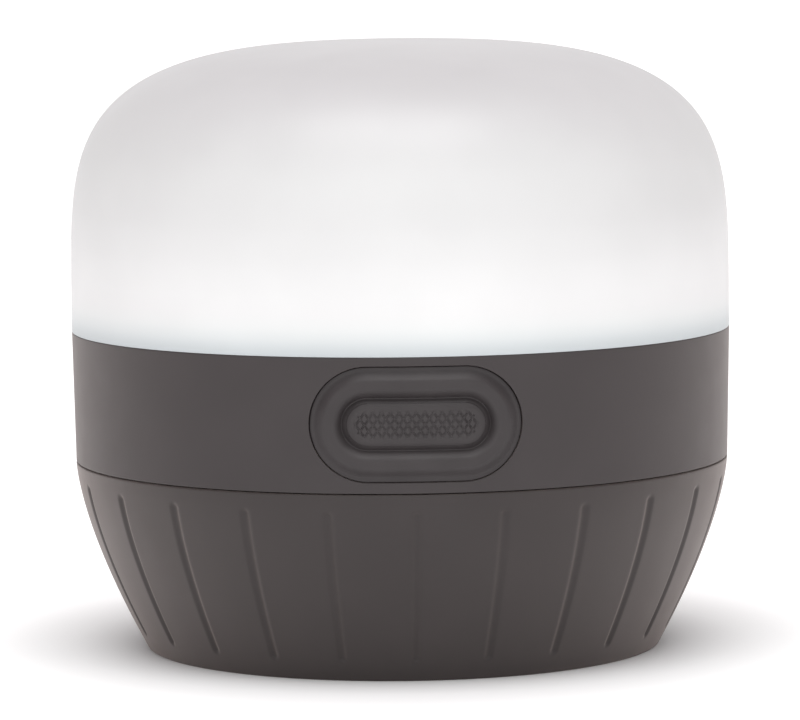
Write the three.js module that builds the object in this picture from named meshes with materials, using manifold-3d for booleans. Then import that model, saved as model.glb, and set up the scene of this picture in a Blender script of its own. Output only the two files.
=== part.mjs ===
// A compact camping lantern. A frosted globe sits on a housing band with one push button. Under it a
// tapered base screws on, which uncovers three AAA cells, and two hang hooks fold out of a recess
// under the base. Millimetres, +Z up. The origin is the centre of the base's underside, where the
// lantern stands, and the button faces -Y.
import * as THREE from 'three';
import { mergeVertices } from 'three/addons/utils/BufferGeometryUtils.js';
import Module from 'manifold-3d';

const wasm = await Module();
wasm.setup();

// ---------------------------------------------------------------- driving dimensions

const ringSegments = 48; // facets round the large turned pieces
const fineSegments = 96; // facets of the radii that the button's pieces are cut to
const cellSegments = 20;
const clearance = 0.3; // between pieces that slide past or are cut by each other
const seat = 0.1; // between flat faces that rest on each other

const bodyRadius = 33.4; // housing, just under the globe
const seamRadius = 33.15; // base and housing, at their seam
const footRadius = 26.1; // base, where it stands
const baseHeight = 19.1;
const baseTaper = 1.47; // exponent of the base's curve: 1 is a cone, 2 is a parabola
const baseWall = 1.8;
const housingBottom = baseHeight + 0.2;
const housingTop = 32.35;
const housingWall = 2.4;
const globeBottom = housingTop + seat;
const globeHeight = 29;
const globeWall = 1.8;
const globeSideCurve = 2.95; // exponents of the globe's superellipse
const globeTopCurve = 4.56;

const cellDiameter = 10.5; // AAA
const cellLength = 44.5;
const cellPitch = 10.9;
const cellZ = 18.3;

const threadRadius = 31.2; // inside of the base's rim
const collarRadius = 30; // outside of the housing's collar, which goes into the base
const collarBottom = 14.3;
const threadHeight = 0.9;
const collarRidgeZ = 15.6; // the base's ridges lie over the collar's, and hold it down
const threadLead = 15; // rise in one full turn of the three-start thread

const carrierRadius = 28.7;
const carrierTop = 25.2;
const postX = 12.5; // the four posts that the boards and the battery carrier screw to
const postY = 22.8;
const postTop = 28.5;
const postBottom = 17.3;
const boardZ = 28.6;
const boardRadius = 28.9;
const boardThickness = 1.6;
const reflectorZ = boardZ + boardThickness + clearance;
const reflectorThickness = 1.2;

const buttonZ = 25.9;
const buttonHalfStraight = 4.65; // half the straight stretch of each of the button's ovals

const recessRadius = 23.4; // hollow under the base that the hooks fold into
const plateZ = 9; // underside of the plate that carries the hooks
const hookPivotY = 2.7;
const hookPivotZ = 4.6;
const hookWidth = 3.2;
const pinRadius = 1;
const pinBore = pinRadius + 0.1;

const screwShank = 0.85; // radius, of all the screws
const screwPilot = 1; // hole that a screw bites into
const screwHole = 1.1; // hole that a screw passes through

// ---------------------------------------------------------------- geometry helpers

// A ring or solid of revolution about Z, from a closed outline of [radius, z] points. A facet's
// middle, not an edge between two, lies at -Y, so that the grip grooves and the button are cut in
// the middle of facets.
function turn(outline, segments = ringSegments) {
  const area = outline.reduce((sum, [r, z], i) => {
    const [nextR, nextZ] = outline[(i + 1) % outline.length];
    return sum + r * nextZ - nextR * z;
  }, 0);
  const ordered = area > 0 ? outline : [...outline].reverse();
  const points = [...ordered, ordered[0]].map(([r, z]) => new THREE.Vector2(r, z));
  return new THREE.LatheGeometry(points, segments, Math.PI / segments).rotateX(Math.PI / 2);
}

// A disc or rod along Z that starts at z = 0, with its facets turned like those of turned pieces.
function rod(radius, height, segments = 12) {
  return new THREE.CylinderGeometry(radius, radius, height, segments, 1, false, Math.PI / segments)
    .rotateX(Math.PI / 2)
    .translate(0, 0, height / 2);
}

// A box given by its lowest and highest corner.
function block([x0, y0, z0], [x1, y1, z1]) {
  return new THREE.BoxGeometry(x1 - x0, y1 - y0, z1 - z0)
    .translate((x0 + x1) / 2, (y0 + y1) / 2, (z0 + z1) / 2);
}

// An oval prism along Y: two half circles of this radius, joined by straight sides.
function ovalPrism(radius, yFrom, yTo, arcSegments = 8) {
  const oval = new THREE.Shape()
    .absarc(buttonHalfStraight, 0, radius, -Math.PI / 2, Math.PI / 2)
    .absarc(-buttonHalfStraight, 0, radius, Math.PI / 2, 1.5 * Math.PI);
  return new THREE.ExtrudeGeometry(oval, {
    depth: yTo - yFrom, bevelEnabled: false, curveSegments: arcSegments,
  }).rotateX(Math.PI / 2).translate(0, yTo, buttonZ);
}

function solid(geometry) {
  const bare = geometry.clone();
  bare.deleteAttribute('normal');
  bare.deleteAttribute('uv');
  const merged = mergeVertices(bare, 1e-3);
  return new wasm.Manifold(new wasm.Mesh({
    numProp: 3,
    vertProperties: merged.attributes.position.array,
    triVerts: merged.index.array,
  }));
}

const join = (...geometries) => geometries.map(solid).reduce((a, b) => a.add(b));

function geometryOf(body) {
  const { vertProperties, triVerts } = body.getMesh();
  const geometry = new THREE.BufferGeometry()
    .setAttribute('position', new THREE.BufferAttribute(vertProperties, 3))
    .setIndex(new THREE.BufferAttribute(triVerts, 1));
  geometry.computeVertexNormals();
  return geometry;
}

// A named mesh of a geometry, or of a solid that booleans made, at a place.
function piece(name, shape, material, place = [0, 0, 0]) {
  const mesh = new THREE.Mesh(shape.isBufferGeometry ? shape : geometryOf(shape), material);
  mesh.name = name;
  mesh.position.set(...place);
  return mesh;
}

function grouped(...meshes) {
  const group = new THREE.Group();
  group.add(...meshes);
  return group;
}

// ---------------------------------------------------------------- materials

const finish = (color, roughness, metalness = 0) =>
  new THREE.MeshStandardMaterial({ color, roughness, metalness });

const bodyPlastic = finish(0x524d4c, 0.55);
const buttonRubber = finish(0x4c4848, 0.75);
const frosted = finish(0xf1eff0, 0.45);
const whitePlastic = finish(0xf4f4f2, 0.5);
const blackPlastic = finish(0x1d1d1e, 0.6);
const sealRubber = finish(0x2b2b2b, 0.85);
const boardGreen = finish(0x1f4a34, 0.5);
const nickel = finish(0xc2bfb8, 0.3, 1);
const steel = finish(0x9b9b9b, 0.35, 1);
const cellWrap = finish(0x3c5a7a, 0.4, 0.3);
const ledYellow = finish(0xe8c84a, 0.4);
const ceramicTan = finish(0x9c8050, 0.6);
const hookPlastic = finish(0x2c2a2a, 0.5);

// ---------------------------------------------------------------- screw thread and screws

// Three ridges on a cylinder, each a stretch of a right-handed helix of threadLead. In the middle
// of its stretch a ridge is at this z.
function threadRidges(innerRadius, outerRadius, z) {
  const starts = 3;
  const arc = THREE.MathUtils.degToRad(36);
  const meanRadius = (innerRadius + outerRadius) / 2;
  return Array.from({ length: starts }, (_, start) => {
    const ridge = new THREE.BoxGeometry(
      outerRadius - innerRadius, arc * meanRadius, threadHeight, 1, 6);
    const position = ridge.getAttribute('position');
    const middle = start * 2 * Math.PI / starts;
    for (let i = 0; i < position.count; i++) {
      const radius = meanRadius + position.getX(i);
      const along = position.getY(i) / meanRadius;
      const height = z + position.getZ(i) + threadLead * along / (2 * Math.PI);
      const azimuth = middle + along;
      position.setXYZ(i, radius * Math.cos(azimuth), radius * Math.sin(azimuth), height);
    }
    return ridge;
  });
}

// A pan-head screw standing on its tip: the shank is along Z and the head is at the top.
function screwGeometry(shankLength, headRadius, headHeight) {
  const top = shankLength + headHeight;
  const body = turn([
    [0, 0], [screwShank, 0], [screwShank, shankLength], [headRadius, shankLength],
    [headRadius, shankLength + headHeight * 0.6], [headRadius * 0.75, top], [0, top],
  ], 10);
  const slotHalf = headRadius * 0.6;
  const slotWide = 0.2;
  const slotDepth = headHeight * 0.5;
  const slot = (halfX, halfY) => solid(block([-halfX, -halfY, top - slotDepth], [halfX, halfY, top + 1]));
  return solid(body).subtract(slot(slotHalf, slotWide)).subtract(slot(slotWide, slotHalf));
}

// Four corners of a rectangle about the axis, in turn.
const corners = (x, y) => [[x, y], [-x, y], [-x, -y], [x, -y]];

// Where cutters start and end, clear of the solid.
const inFront = -36; // y
const aboveAll = 40; // z

// ---------------------------------------------------------------- base

const baseRadiusAt = (z) =>
  seamRadius - (seamRadius - footRadius) * ((baseHeight - z) / baseHeight) ** baseTaper;

const recessWall = 1.5;
const recessWallTop = 8.3;
const gasketSeatZ = 18.2;
const gasketStep = 1.15; // width of the step that the base's gasket lies on
const bossX = 19.4; // screw bosses in the recess, that hold the hook plate
const bossY = 8.6;
const bossRadius = 2.6;

// Cutters for the grip grooves: square bars, edge inwards, that follow the base's outside.
function gripGrooves() {
  const count = 24;
  const lowest = 2.6;
  const highest = 16.4;
  const barRadius = 0.62;
  const standOff = 0.2; // the bar's axis lies this far outside the surface
  const steps = 4;
  const path = new THREE.CatmullRomCurve3(Array.from({ length: steps + 1 }, (_, i) => {
    const z = lowest + (highest - lowest) * i / steps;
    return new THREE.Vector3(0, -baseRadiusAt(z) - standOff, z);
  }));
  const section = new THREE.Shape().absarc(0, 0, barRadius, 0, 2 * Math.PI);
  const bar = new THREE.ExtrudeGeometry(section, {
    extrudePath: path, steps, curveSegments: 2, bevelEnabled: false,
  });
  return Array.from({ length: count }, (_, i) => bar.clone().rotateZ(i * 2 * Math.PI / count));
}

function baseShell() {
  const outerSteps = 6;
  const outside = Array.from({ length: outerSteps + 1 }, (_, i) => {
    const z = baseHeight * i / outerSteps;
    return [baseRadiusAt(z), z];
  });
  const wallAt = (z) => [baseRadiusAt(z) - baseWall, z];
  const channelFloor = 2.6;
  const outline = [
    ...outside,
    [threadRadius + gasketStep, baseHeight], [threadRadius + gasketStep, gasketSeatZ],
    [threadRadius, gasketSeatZ], [threadRadius, collarBottom - 0.1],
    wallAt(11.5), wallAt(7), wallAt(channelFloor),
    [recessRadius + recessWall, channelFloor], [recessRadius + recessWall, recessWallTop],
    [recessRadius, recessWallTop], [recessRadius, 0],
  ];
  const bossBottom = 1.5;
  const counterboreRadius = 1.9;
  const bosses = corners(bossX, bossY).map(([x, y]) =>
    rod(bossRadius, recessWallTop - bossBottom - 0.2).translate(x, y, bossBottom));
  // The ridges reach into the wall, so that they join it.
  const ridges = threadRidges(
    collarRadius + clearance, threadRadius + 0.4, collarRidgeZ + threadHeight + clearance);
  let shell = join(turn(outline), ...bosses, ...ridges);
  for (const [x, y] of corners(bossX, bossY)) {
    shell = shell
      .subtract(solid(rod(screwHole, 8).translate(x, y, 1)))
      .subtract(solid(rod(counterboreRadius, 3).translate(x, y, 1)));
  }
  return shell.subtract(join(...gripGrooves()));
}

// The plate closes the base from inside, and its ears hang into the recess and hold the hook pins.
function hookPlate() {
  const thickness = 1.2;
  const earInner = 9.9;
  const earThickness = 1.8;
  const earRadius = 2.2;
  const outer = hookPivotY + earRadius;
  const ear = new THREE.Shape([
    new THREE.Vector2(outer, hookPivotZ), new THREE.Vector2(outer, plateZ + 0.1),
    new THREE.Vector2(-outer, plateZ + 0.1), new THREE.Vector2(-outer, hookPivotZ),
  ])
    .absarc(-hookPivotY, hookPivotZ, earRadius, Math.PI, 2 * Math.PI)
    .absarc(hookPivotY, hookPivotZ, earRadius, Math.PI, 2 * Math.PI);
  for (const y of [hookPivotY, -hookPivotY]) {
    ear.holes.push(new THREE.Path().absarc(y, hookPivotZ, pinBore, 0, 2 * Math.PI));
  }
  const earAt = (x) => new THREE.ExtrudeGeometry(ear, {
    depth: earThickness, bevelEnabled: false, curveSegments: 6,
  }).rotateX(Math.PI / 2).rotateZ(Math.PI / 2).translate(x, 0, 0);
  const bosses = corners(bossX, bossY).map(([x, y]) => rod(2, 2).translate(x, y, plateZ));
  const plate = join(
    rod(recessRadius + recessWall - 0.1, thickness, ringSegments).translate(0, 0, plateZ),
    ...bosses, earAt(earInner), earAt(-earInner - earThickness));
  return corners(bossX, bossY).reduce(
    (body, [x, y]) => body.subtract(solid(rod(screwPilot, 1.7).translate(x, y, plateZ - 0.1))), plate);
}

// A J-shaped hook, flat in XY, with its pivot along X at the origin and its bend towards +Y. The
// open side is at +X.
function hangHook() {
  const half = hookWidth / 2;
  const armX = 7.9;
  const bendY = 9.5;
  const tipY = 8.5;
  const bevel = 0.5;
  const barrelRadius = 2.2;
  const outline = new THREE.Shape()
    .moveTo(-armX + half - bevel, 0)
    .lineTo(-armX - half + bevel, 0)
    .lineTo(-armX - half + bevel, bendY)
    .absarc(0, bendY, armX + half - bevel, Math.PI, 0, true)
    .lineTo(armX + half - bevel, tipY)
    .absarc(armX, tipY, half - bevel, 0, Math.PI, true)
    .lineTo(armX - half + bevel, bendY)
    .absarc(0, bendY, armX - half + bevel, 0, Math.PI, false);
  const arm = new THREE.ExtrudeGeometry(outline, {
    depth: hookWidth - 2 * bevel, curveSegments: 8,
    bevelThickness: bevel, bevelSize: bevel, bevelSegments: 1,
  }).translate(0, 0, -half + bevel);
  const barrelLength = 2 * armX + hookWidth;
  const along = (radius, length) =>
    rod(radius, length).translate(0, 0, -length / 2).rotateY(Math.PI / 2);
  return join(arm, along(barrelRadius, barrelLength))
    .subtract(solid(along(pinBore, barrelLength + 2)));
}

function makeBase() {
  const pinLength = 23;
  const pin = () => rod(pinRadius, pinLength, 12).translate(0, 0, -pinLength / 2).rotateY(Math.PI / 2);
  const plateScrew = screwGeometry(6.4, 1.7, 1.2);
  const tipZ = 10.2;
  const screws = corners(bossX, bossY).map(([x, y], i) => {
    const screw = piece(`plate_screw_${i + 1}`, plateScrew, steel, [x, y, tipZ]);
    screw.rotation.x = Math.PI; // driven from below
    return screw;
  });
  return grouped(
    piece('base_shell', baseShell(), bodyPlastic),
    piece('base_gasket', turn([
      [threadRadius + 0.1, 0], [threadRadius + 1.05, 0],
      [threadRadius + 1.05, 0.9], [threadRadius + 0.1, 0.9],
    ]), sealRubber, [0, 0, gasketSeatZ + 0.1]),
    piece('plate_gasket', turn([
      [recessRadius + 0.2, 0], [recessRadius + 1.3, 0],
      [recessRadius + 1.3, 0.5], [recessRadius + 0.2, 0.5],
    ]), sealRubber, [0, 0, recessWallTop + seat]),
    piece('hook_plate', hookPlate(), blackPlastic),
    piece('hook_pin_front', pin(), steel, [0, -hookPivotY, hookPivotZ]),
    piece('hook_pin_back', pin(), steel, [0, hookPivotY, hookPivotZ]),
    ...screws);
}

function makeHooks() {
  const back = piece('hang_hook_back', hangHook(), hookPlastic, [0, hookPivotY, hookPivotZ]);
  const front = piece('hang_hook_front', hangHook(), hookPlastic, [0, -hookPivotY, hookPivotZ]);
  front.rotation.z = Math.PI;
  return grouped(back, front);
}

// ---------------------------------------------------------------- housing, globe and reflector

const housingInside = bodyRadius - housingWall;
const pocketRadius = 32; // floor of the pocket that the button's surround sits in
const surroundOval = 5.45;
const padOval = 1.7;
const ledgeTop = 29.5; // ledge under the globe's gasket

function lampHousing() {
  const collarInside = 29;
  const shelfTop = 20.8;
  const ledgeInside = 29.3;
  const ring = turn([
    [collarRadius, collarBottom], [collarRadius, housingBottom], [seamRadius, housingBottom],
    [bodyRadius, housingTop], [housingInside + 0.1, housingTop], [housingInside, ledgeTop],
    [ledgeInside, ledgeTop], [ledgeInside, ledgeTop - 0.7], [housingInside, ledgeTop - 0.7],
    [housingInside, shelfTop], [collarInside, shelfTop], [collarInside, collarBottom],
  ]);
  const posts = corners(postX, postY).flatMap(([x, y]) => {
    const azimuth = Math.atan2(y, x);
    const webFrom = Math.hypot(x, y);
    const web = block([webFrom, -0.6, postBottom + 0.5], [collarInside + 0.4, 0.6, shelfTop - 0.3])
      .rotateZ(azimuth);
    return [rod(2.3, postTop - postBottom).translate(x, y, postBottom), web];
  });
  let housing = join(ring, ...posts, ...threadRidges(
    collarRadius - 0.4, threadRadius - clearance, collarRidgeZ));
  for (const [x, y] of corners(postX, postY)) {
    housing = housing
      .subtract(solid(rod(screwPilot, 5.4).translate(x, y, postTop - 5.3)))
      .subtract(solid(rod(screwPilot, 5.4).translate(x, y, postBottom - 0.1)));
  }
  const pocket = solid(ovalPrism(surroundOval + 0.15, inFront, -26))
    .subtract(solid(rod(pocketRadius, aboveAll, ringSegments)));
  return housing.subtract(pocket).subtract(solid(ovalPrism(padOval + 0.45, inFront, -27)));
}

// The globe is open below. Its spigot goes into the housing, and its rim rests on the housing's top.
function globe() {
  // Outline of a quarter superellipse, from its lower edge to the axis.
  const dome = (radius, bottom, height, steps) => Array.from({ length: steps + 1 }, (_, i) => {
    const angle = Math.PI / 2 * i / steps;
    return [
      i === steps ? 0 : radius * Math.cos(angle) ** (2 / globeSideCurve),
      bottom + height * Math.sin(angle) ** (2 / globeTopCurve),
    ];
  });
  const rimThickness = 1.5;
  const innerHeight = globeHeight - globeWall - rimThickness;
  const spigotOutside = housingInside - clearance;
  const spigotInside = housingInside - 1.5;
  const spigotBottom = 30.2;
  return turn([
    [spigotOutside, spigotBottom], [spigotOutside, globeBottom],
    ...dome(bodyRadius, globeBottom, globeHeight, 11),
    ...dome(bodyRadius - globeWall, globeBottom + rimThickness, innerHeight, 7).reverse(),
    [spigotInside, globeBottom + rimThickness - 0.2], [spigotInside, spigotBottom],
  ]);
}

// A white plate under the globe, with a hole for the LED that widens upwards.
function reflectorPlate() {
  const holeBottom = 4.2;
  const holeTop = 6.4;
  const plate = solid(turn([
    [holeBottom, 0], [boardRadius, 0], [boardRadius, reflectorThickness],
    [holeTop, reflectorThickness], [holeBottom, 0.3],
  ]));
  return corners(postX, postY).reduce(
    (body, [x, y]) => body.subtract(solid(rod(screwPilot, 3).translate(x, y, -1))), plate);
}

// ---------------------------------------------------------------- button and switch

const behindButton = -25;

// Keeps of an oval prism what lies between two radii about the axis.
const curvedOval = (oval, innerRadius, outerRadius) =>
  solid(ovalPrism(oval, inFront, behindButton))
    .intersect(solid(rod(outerRadius, aboveAll, fineSegments)))
    .subtract(solid(rod(innerRadius, aboveAll, fineSegments)));

const surroundFloor = pocketRadius + seat;

// The soft surround: a flush flange, a raised oval rim, and a sunk channel round the pad.
function buttonSurround() {
  const rimOuter = 4.6;
  const rimInner = 2.9;
  const flangeFace = 33.05;
  const rimFace = 34;
  const channelFloor = 32.6;
  const flange = curvedOval(surroundOval, surroundFloor, flangeFace);
  const rim = curvedOval(rimOuter, surroundFloor, rimFace);
  const channel = solid(ovalPrism(rimInner, inFront, behindButton))
    .subtract(solid(rod(channelFloor, aboveAll, fineSegments)));
  return flange.add(rim).subtract(channel)
    .subtract(solid(ovalPrism(padOval + clearance, inFront, behindButton)));
}

// The textured pad, with a wide tail behind the wall that keeps it in, and a post to the switch.
function buttonPad() {
  const padFace = 33.6;
  const tailOval = 2.45;
  const tailBack = -28.9;
  const front = curvedOval(padOval, housingInside - 1, padFace);
  const tail = solid(ovalPrism(tailOval, inFront, tailBack))
    .intersect(solid(rod(housingInside - 0.4, aboveAll, fineSegments)));
  const post = solid(rod(1.2, 0.8).rotateX(-Math.PI / 2).translate(0, tailBack - 0.2, buttonZ));
  return front.add(tail).add(post);
}

const switchFront = -26.7;
const plungerTip = -27.9;

function switchBody() {
  const body = solid(block([-3, switchFront, -3], [3, switchFront + 3.5, 2.5]));
  return body.subtract(solid(rod(1.8, 1.6).rotateX(-Math.PI / 2).translate(0, switchFront - 0.1, 0)));
}

// ---------------------------------------------------------------- battery carrier, contacts and cells

const endWall = 24.75; // inner face of the carrier's end walls
const contactX = 24.3; // inner face of the contact plates
const contactThickness = 0.3;
const contactHalf = 3.2; // half the side of a contact plate's square
const tabWidth = 2.4;
const tabY = { positive: -cellPitch, negative: cellPitch };

function batteryCarrier() {
  const halfLength = 26;
  const halfWidth = 1.5 * cellPitch + 1.1;
  const sideHalfLength = 20;
  const sideWall = 1;
  const dividerHalfLength = 18;
  const dividerHalf = 0.9;
  const dividerBottom = 20.6;
  const endBottom = 13.6;
  const earBottom = 15.6;
  const roof = 24;
  const wallTop = roof + 0.1; // the walls reach a little into the roof, so that they join it
  const walls = join(
    block([-halfLength, -halfWidth, roof], [halfLength, halfWidth, carrierTop]),
    block([endWall, -halfWidth, endBottom], [halfLength, halfWidth, wallTop]),
    block([-halfLength, -halfWidth, endBottom], [-endWall, halfWidth, wallTop]),
    block([-sideHalfLength, -halfWidth, earBottom], [sideHalfLength, -halfWidth + sideWall, wallTop]),
    block([-sideHalfLength, halfWidth - sideWall, earBottom], [sideHalfLength, halfWidth, wallTop]),
    ...[-cellPitch / 2, cellPitch / 2].map((y) => block(
      [-dividerHalfLength, y - dividerHalf, dividerBottom],
      [dividerHalfLength, y + dividerHalf, wallTop])),
  ).intersect(solid(rod(carrierRadius, aboveAll, ringSegments)));
  const ears = join(...corners(postX, postY).flatMap(([x, y]) => {
    const wallY = Math.sign(y) * (halfWidth - 0.5);
    return [
      rod(2.4, 1.6).translate(x, y, earBottom),
      block([x - 2.3, Math.min(y, wallY), earBottom + 0.1], [x + 2.3, Math.max(y, wallY), 17.1]),
    ];
  }));
  const cellSpace = [-1, 0, 1].map((row) =>
    rod(cellDiameter / 2 + 0.15, 2 * endWall, cellSegments).rotateY(Math.PI / 2)
      .translate(-endWall, row * cellPitch, cellZ));
  const tabSlots = [[endWall - 0.8, tabY.positive], [-endWall - 0.2, tabY.negative]].map(([x, y]) =>
    block([x, y - tabWidth / 2 - 0.3, roof - 1], [x + 1, y + tabWidth / 2 + 0.3, carrierTop + 1]));
  const screwHoles = corners(postX, postY).map(([x, y]) => rod(screwHole, 4).translate(x, y, 14));
  return walls.add(ears).subtract(join(...cellSpace)).subtract(join(...tabSlots))
    .subtract(join(...screwHoles));
}

// A contact plate against one end wall, at x = 0 with the cells at -X. A raised boss meets a cell's
// positive end, and a tab, where there is one, goes up to the board.
function contactPlate(yFrom, yTo, bossY, tabAt) {
  const parts = [block([0, yFrom, -contactHalf], [contactThickness, yTo, contactHalf])];
  if (bossY !== null) {
    parts.push(rod(2.2, 1.9).rotateY(-Math.PI / 2).translate(0.05, bossY, 0));
  }
  if (tabAt !== null) {
    parts.push(block([0, tabAt - tabWidth / 2, contactHalf - 0.5],
      [contactThickness, tabAt + tabWidth / 2, boardZ - seat - cellZ]));
  }
  return join(...parts);
}

// A conical coil of wire, along +X from the plate to the cell's flat end.
function contactSpring() {
  const turns = 2.5;
  const wire = 0.25;
  const length = contactX - cellLength / 2 - 2 * wire - 0.1;
  const wideEnd = 3.3;
  const narrowEnd = 1.9;
  class Coil extends THREE.Curve {
    getPoint(t, target = new THREE.Vector3()) {
      const angle = 2 * Math.PI * turns * t;
      const radius = wideEnd - (wideEnd - narrowEnd) * t;
      return target.set(wire + 0.05 + length * t, radius * Math.cos(angle), radius * Math.sin(angle));
    }
  }
  const section = new THREE.Shape().absarc(0, 0, wire, 0, 2 * Math.PI);
  return new THREE.ExtrudeGeometry(section, {
    extrudePath: new Coil(), steps: 25, curveSegments: 3, bevelEnabled: false,
  });
}

// A AAA cell along X, centred, with its positive end at +X.
function cell() {
  const radius = cellDiameter / 2;
  const end = cellLength / 2;
  const shoulder = end - 1;
  const chamfer = 0.5;
  const nubRadius = 1.9;
  return turn([
    [0, -end], [radius - chamfer, -end], [radius, -end + chamfer], [radius, shoulder - chamfer],
    [radius - chamfer, shoulder], [nubRadius, shoulder], [nubRadius, end], [0, end],
  ], cellSegments).rotateY(Math.PI / 2);
}

function makeBattery() {
  const span = cellPitch + contactHalf;
  const group = new THREE.Group();
  group.position.z = cellZ;
  group.add(
    // The cells lie side by side, turned end for end in between.
    ...[-1, 0, 1].map((row, i) => {
      const placed = piece(`aaa_cell_${i + 1}`, cell(), cellWrap, [0, row * cellPitch, 0]);
      placed.rotation.z = row === 0 ? Math.PI : 0;
      return placed;
    }),
    // At +X: the first cell's terminal, and the bridge from the second to the third.
    piece('contact_positive', contactPlate(-span, -cellPitch + contactHalf, -cellPitch, tabY.positive),
      nickel, [contactX, 0, 0]),
    piece('contact_bridge_right', contactPlate(-contactHalf, span, cellPitch, null),
      nickel, [contactX, 0, 0]),
  );
  // At -X the same plates are turned round, so their Y runs the other way.
  const bridgeLeft = piece('contact_bridge_left', contactPlate(-contactHalf, span, 0, null),
    nickel, [-contactX, 0, 0]);
  const negative = piece('contact_negative',
    contactPlate(-span, -cellPitch + contactHalf, null, -tabY.negative), nickel, [-contactX, 0, 0]);
  for (const mesh of [bridgeLeft, negative]) mesh.rotation.z = Math.PI;
  const springAt = (name, x, y) => {
    const spring = piece(name, contactSpring(), steel, [x, y, 0]);
    if (x > 0) spring.rotation.z = Math.PI;
    return spring;
  };
  group.add(bridgeLeft, negative,
    springAt('contact_spring_1', -contactX, -cellPitch),
    springAt('contact_spring_2', contactX, 0),
    springAt('contact_spring_3', -contactX, cellPitch));
  return group;
}

// ---------------------------------------------------------------- circuit board

function mainBoard() {
  const board = solid(rod(boardRadius, boardThickness, ringSegments));
  return corners(postX, postY).reduce(
    (body, [x, y]) => body.subtract(solid(rod(screwHole, 4).translate(x, y, -1))), board);
}

// A low dome on a short cylinder.
function ledLens() {
  const radius = 1.5;
  const domeBottom = 0.4;
  const domeHeight = 1.3;
  const dome = turn([
    [0, 0],
    ...[0, 1, 2, 3].map((i) => [
      radius * Math.cos(i * Math.PI / 8), domeBottom + domeHeight * Math.sin(i * Math.PI / 8)]),
    [0, domeBottom + domeHeight],
  ], 16);
  return join(rod(radius, domeBottom), dome);
}

function makeBoard() {
  // Components hang under the board.
  const hung = (name, [x, y], [dx, dy, dz], material) => piece(
    name, new THREE.BoxGeometry(dx, dy, dz), material, [x, y, -seat - dz / 2]);
  const ledHalf = 1.9;
  const ledHeight = 0.7;
  const group = grouped(
    piece('main_board', mainBoard(), boardGreen),
    piece('led_package', block([-ledHalf, -ledHalf, 0], [ledHalf, ledHalf, ledHeight]), whitePlastic,
      [0, 0, boardThickness + seat]),
    piece('led_lens', ledLens(), ledYellow, [0, 0, boardThickness + ledHeight + 2 * seat]),
    hung('driver_chip', [7, 3], [5, 4, 1.5], blackPlastic),
    hung('power_inductor', [-7, 4], [6, 6, 2.8], blackPlastic),
    hung('capacitor_1', [0, 7], [3.2, 1.6, 1.2], ceramicTan),
    hung('capacitor_2', [0, -2], [3.2, 1.6, 1.2], ceramicTan),
    piece('reflector_plate', reflectorPlate(), whitePlastic, [0, 0, reflectorZ - boardZ]),
  );
  group.position.z = boardZ;
  return group;
}

// ---------------------------------------------------------------- assembly

function makeHead() {
  const boardShank = 6.4;
  const boardScrew = screwGeometry(boardShank, 1.8, 1.1);
  const boardTipZ = reflectorZ + reflectorThickness + seat - boardShank;
  const carrierScrew = screwGeometry(6, 1.8, 1.2);
  const carrierTipZ = 21.5;
  const screws = corners(postX, postY).flatMap(([x, y], i) => {
    const upper = piece(`board_screw_${i + 1}`, boardScrew, steel, [x, y, boardTipZ]);
    const lower = piece(`carrier_screw_${i + 1}`, carrierScrew, steel, [x, y, carrierTipZ]);
    lower.rotation.x = Math.PI; // driven from below
    return [upper, lower];
  });
  const tactSwitch = piece('tact_switch', switchBody(), blackPlastic, [0, 0, buttonZ]);
  const plunger = piece('switch_plunger', rod(1.6, 2.3).rotateX(-Math.PI / 2), whitePlastic,
    [0, plungerTip, buttonZ]);
  return grouped(
    piece('globe', globe(), frosted),
    piece('globe_gasket', turn([
      [29.6, 0], [30.8, 0], [30.8, 0.55], [29.6, 0.55],
    ]), sealRubber, [0, 0, ledgeTop + seat / 2]),
    piece('lamp_housing', lampHousing(), bodyPlastic),
    piece('button_surround', buttonSurround(), buttonRubber),
    piece('button_pad', buttonPad(), buttonRubber),
    tactSwitch, plunger,
    piece('battery_carrier', batteryCarrier(), blackPlastic),
    makeBattery(), makeBoard(), ...screws);
}

export default grouped(makeBase(), makeHooks(), makeHead());
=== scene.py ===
"""A compact camping lantern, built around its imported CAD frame.

Shapes are worked out in millimetres in the frame's own axes: +Z up, the push button towards -Y.
"""
import math

import bmesh
import bpy
from mathutils import Matrix, Vector


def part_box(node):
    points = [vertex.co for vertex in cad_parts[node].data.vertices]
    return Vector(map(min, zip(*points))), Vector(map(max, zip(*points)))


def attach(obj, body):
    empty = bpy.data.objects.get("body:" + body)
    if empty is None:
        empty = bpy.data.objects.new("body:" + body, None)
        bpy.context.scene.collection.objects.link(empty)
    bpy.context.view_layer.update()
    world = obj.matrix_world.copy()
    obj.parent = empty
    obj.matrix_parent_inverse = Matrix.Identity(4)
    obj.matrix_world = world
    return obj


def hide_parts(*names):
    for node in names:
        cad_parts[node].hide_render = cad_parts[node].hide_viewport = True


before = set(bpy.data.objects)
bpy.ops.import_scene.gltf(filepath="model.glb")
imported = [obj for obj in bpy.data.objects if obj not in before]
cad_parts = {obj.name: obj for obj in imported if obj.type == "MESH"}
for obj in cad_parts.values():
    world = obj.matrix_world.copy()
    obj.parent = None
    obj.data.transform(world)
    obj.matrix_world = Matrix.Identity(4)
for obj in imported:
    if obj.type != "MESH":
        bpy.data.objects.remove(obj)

MM = 0.001
TAU = 2 * math.pi
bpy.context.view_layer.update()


# ---- what the frame says

def low(node):
    """Lowest corner of a CAD node, in millimetres."""
    return [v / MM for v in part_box(node)[0]]


def high(node):
    """Highest corner of a CAD node, in millimetres."""
    return [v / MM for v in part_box(node)[1]]


def middle(node):
    """Centre of a CAD node's box, in millimetres."""
    return [(a + b) / 2 for a, b in zip(low(node), high(node))]


def levels(node):
    """Lowest and highest Z of a CAD node, in millimetres."""
    return low(node)[2], high(node)[2]


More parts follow.
